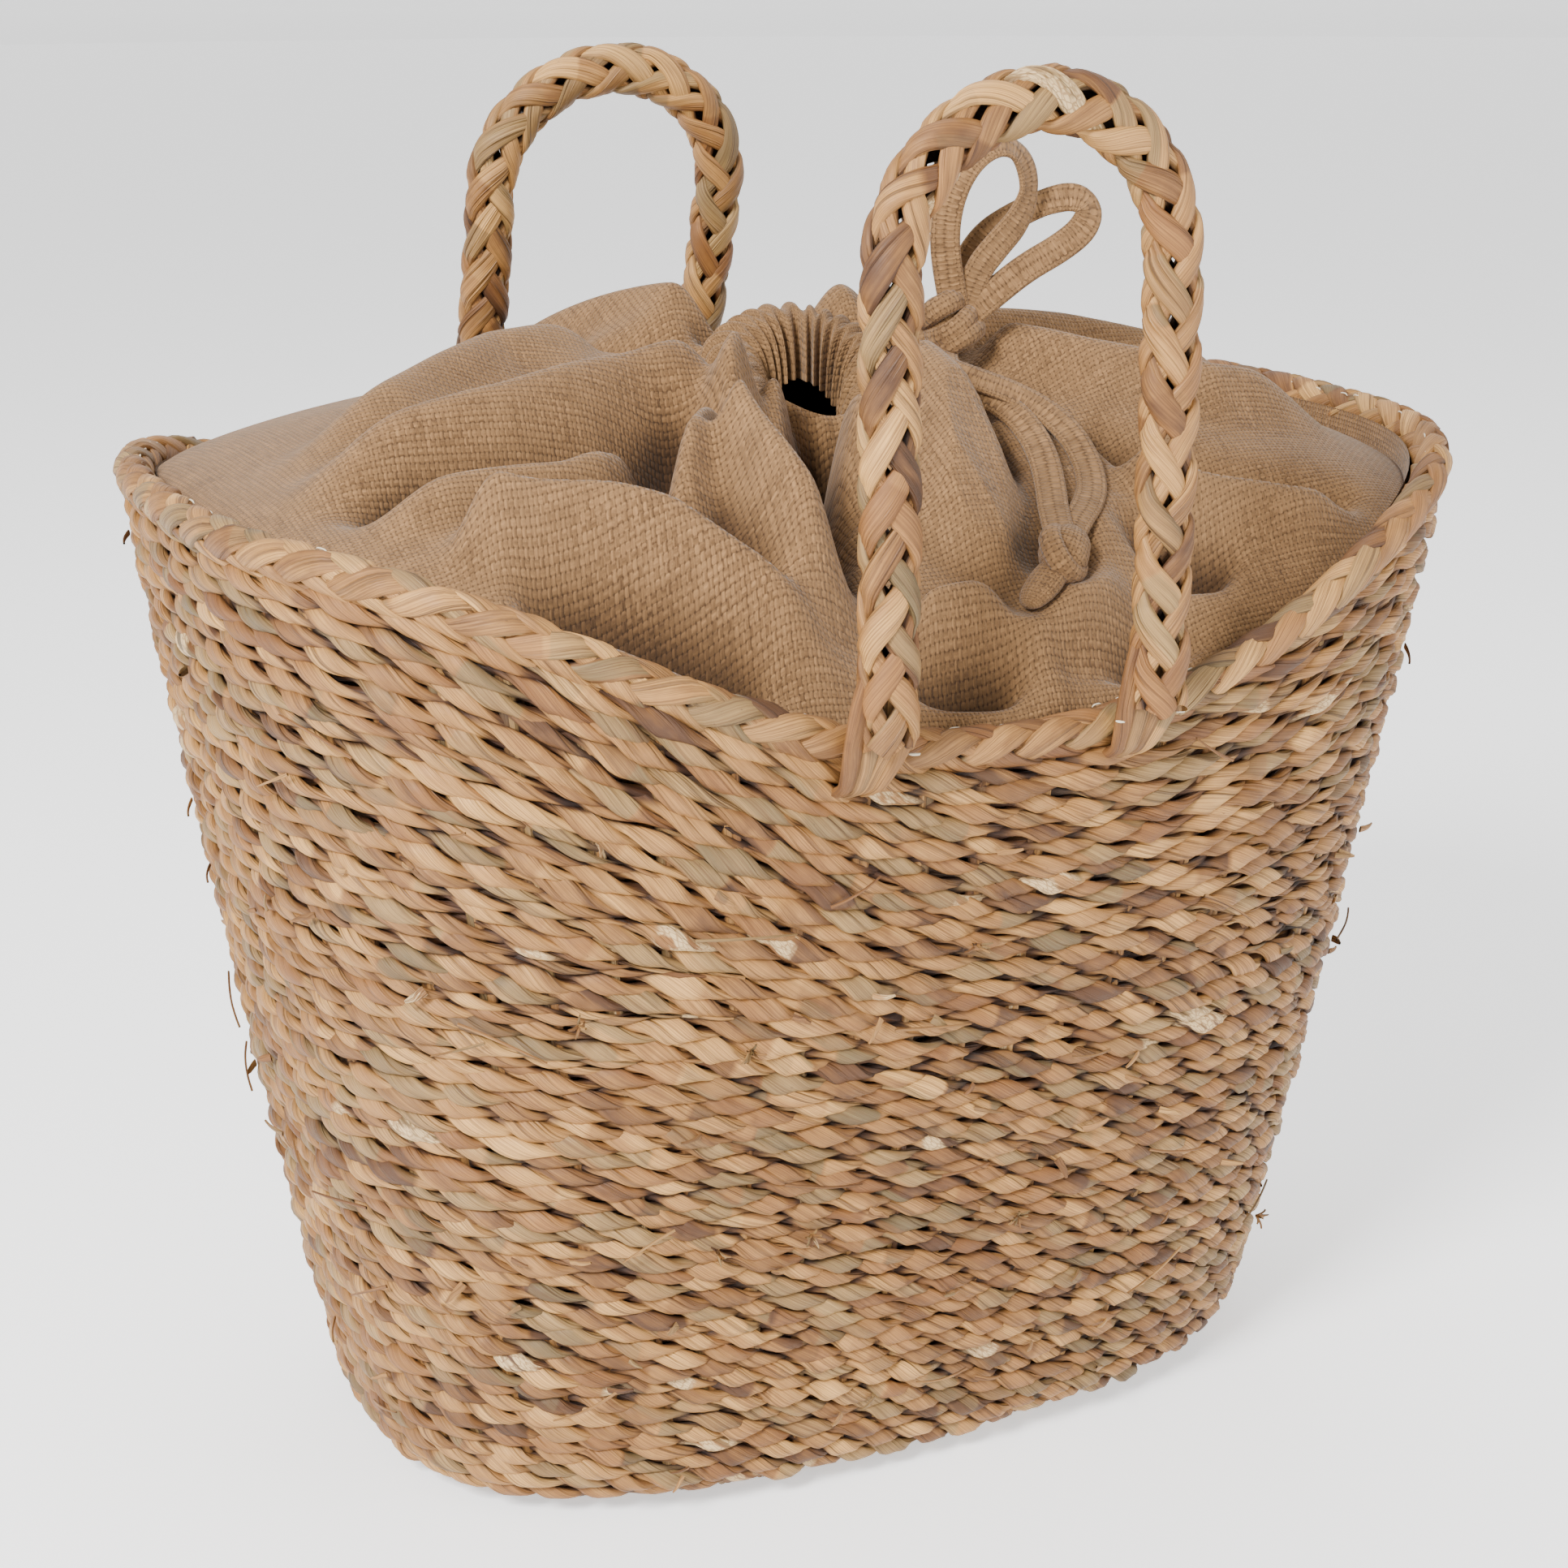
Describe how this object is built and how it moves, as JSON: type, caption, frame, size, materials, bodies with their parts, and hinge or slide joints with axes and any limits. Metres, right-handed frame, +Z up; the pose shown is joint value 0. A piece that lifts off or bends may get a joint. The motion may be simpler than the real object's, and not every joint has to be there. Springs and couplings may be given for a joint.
{
  "type": "seagrass storage basket",
  "caption": "Oval twined seagrass storage basket with a saddle-shaped rim, plaited arch handles and a cloth liner drawn closed by a bow-tied tape.",
  "frame": {"origin": "on the floor under the middle of the base", "axes": "+Z up, +X along the basket to its right end, -Y is the front with the bow in front of the mouth"},
  "size_m": [0.4801, 0.371, 0.511],
  "materials": {
    "seagrass": "dry natural seagrass leaves, matt with a slight waxy sheen, tan to greenish grey",
    "liner_cloth": "coarse plain-weave linen-look cloth, matt beige brown",
    "drawstring_tape": "folded and sewn cloth tape, matt beige brown",
    "sewing_thread": "off-white twisted thread"
  },
  "bodies": {
    "basket": {"woven_base": "seagrass", "weft_course_01": "seagrass", "weft_course_02": "seagrass", "weft_course_03": "seagrass", "weft_course_04": "seagrass", "weft_course_05": "seagrass", "weft_course_06": "seagrass", "weft_course_07": "seagrass", "weft_course_08": "seagrass", "weft_course_09": "seagrass", "weft_course_10": "seagrass", "weft_course_11": "seagrass", "weft_course_12": "seagrass", "weft_course_13": "seagrass", "weft_course_14": "seagrass", "weft_course_15": "seagrass", "weft_course_16": "seagrass", "weft_course_17": "seagrass", "weft_course_18": "seagrass", "weft_course_19": "seagrass", "weft_course_20": "seagrass", "weft_course_21": "seagrass", "weft_course_22": "seagrass", "weft_course_23": "seagrass", "short_course_left_1": "seagrass", "short_course_right_1": "seagrass", "short_course_left_2": "seagrass", "short_course_right_2": "seagrass", "short_course_left_3": "seagrass", "short_course_right_3": "seagrass", "short_course_left_4": "seagrass", "short_course_right_4": "seagrass", "short_course_left_5": "seagrass", "short_course_right_5": "seagrass", "short_course_left_6": "seagrass", "short_course_right_6": "seagrass", "rim_border": "seagrass", "warp_stakes": "seagrass", "liner_bag": "liner_cloth", "liner_top": "liner_cloth", "rim_stitches": "sewing_thread", "front_handle_feet": "seagrass", "rear_handle_feet": "seagrass", "front_handle_stitches": "sewing_thread", "rear_handle_stitches": "sewing_thread"},
    "front_handle": {"front_handle": "seagrass"},
    "rear_handle": {"rear_handle": "seagrass"},
    "liner_neck": {"drawstring_channel": "liner_cloth", "bow_knot": "drawstring_tape", "bow_loop_left": "drawstring_tape", "bow_loop_right": "drawstring_tape", "upper_tail": "drawstring_tape", "lower_tail": "drawstring_tape", "end_knot": "drawstring_tape"}
  },
  "joints": [
    {"name": "front_handle_hinge", "type": "hinge", "parent": "basket", "child": "front_handle", "pos_m": [-0.006, -0.1795, 0.309], "axis": [1, 0, 0], "range_deg": [-18, 90]},
    {"name": "rear_handle_hinge", "type": "hinge", "parent": "basket", "child": "rear_handle", "pos_m": [-0.012, 0.1795, 0.309], "axis": [-1, 0, 0], "range_deg": [-12, 100]},
    {"name": "closure_lift", "type": "slide", "parent": "basket", "child": "liner_neck", "axis": [0, 0, 1], "range_m": [0, 0.04], "deforming": ["liner_top"]}
  ]
}
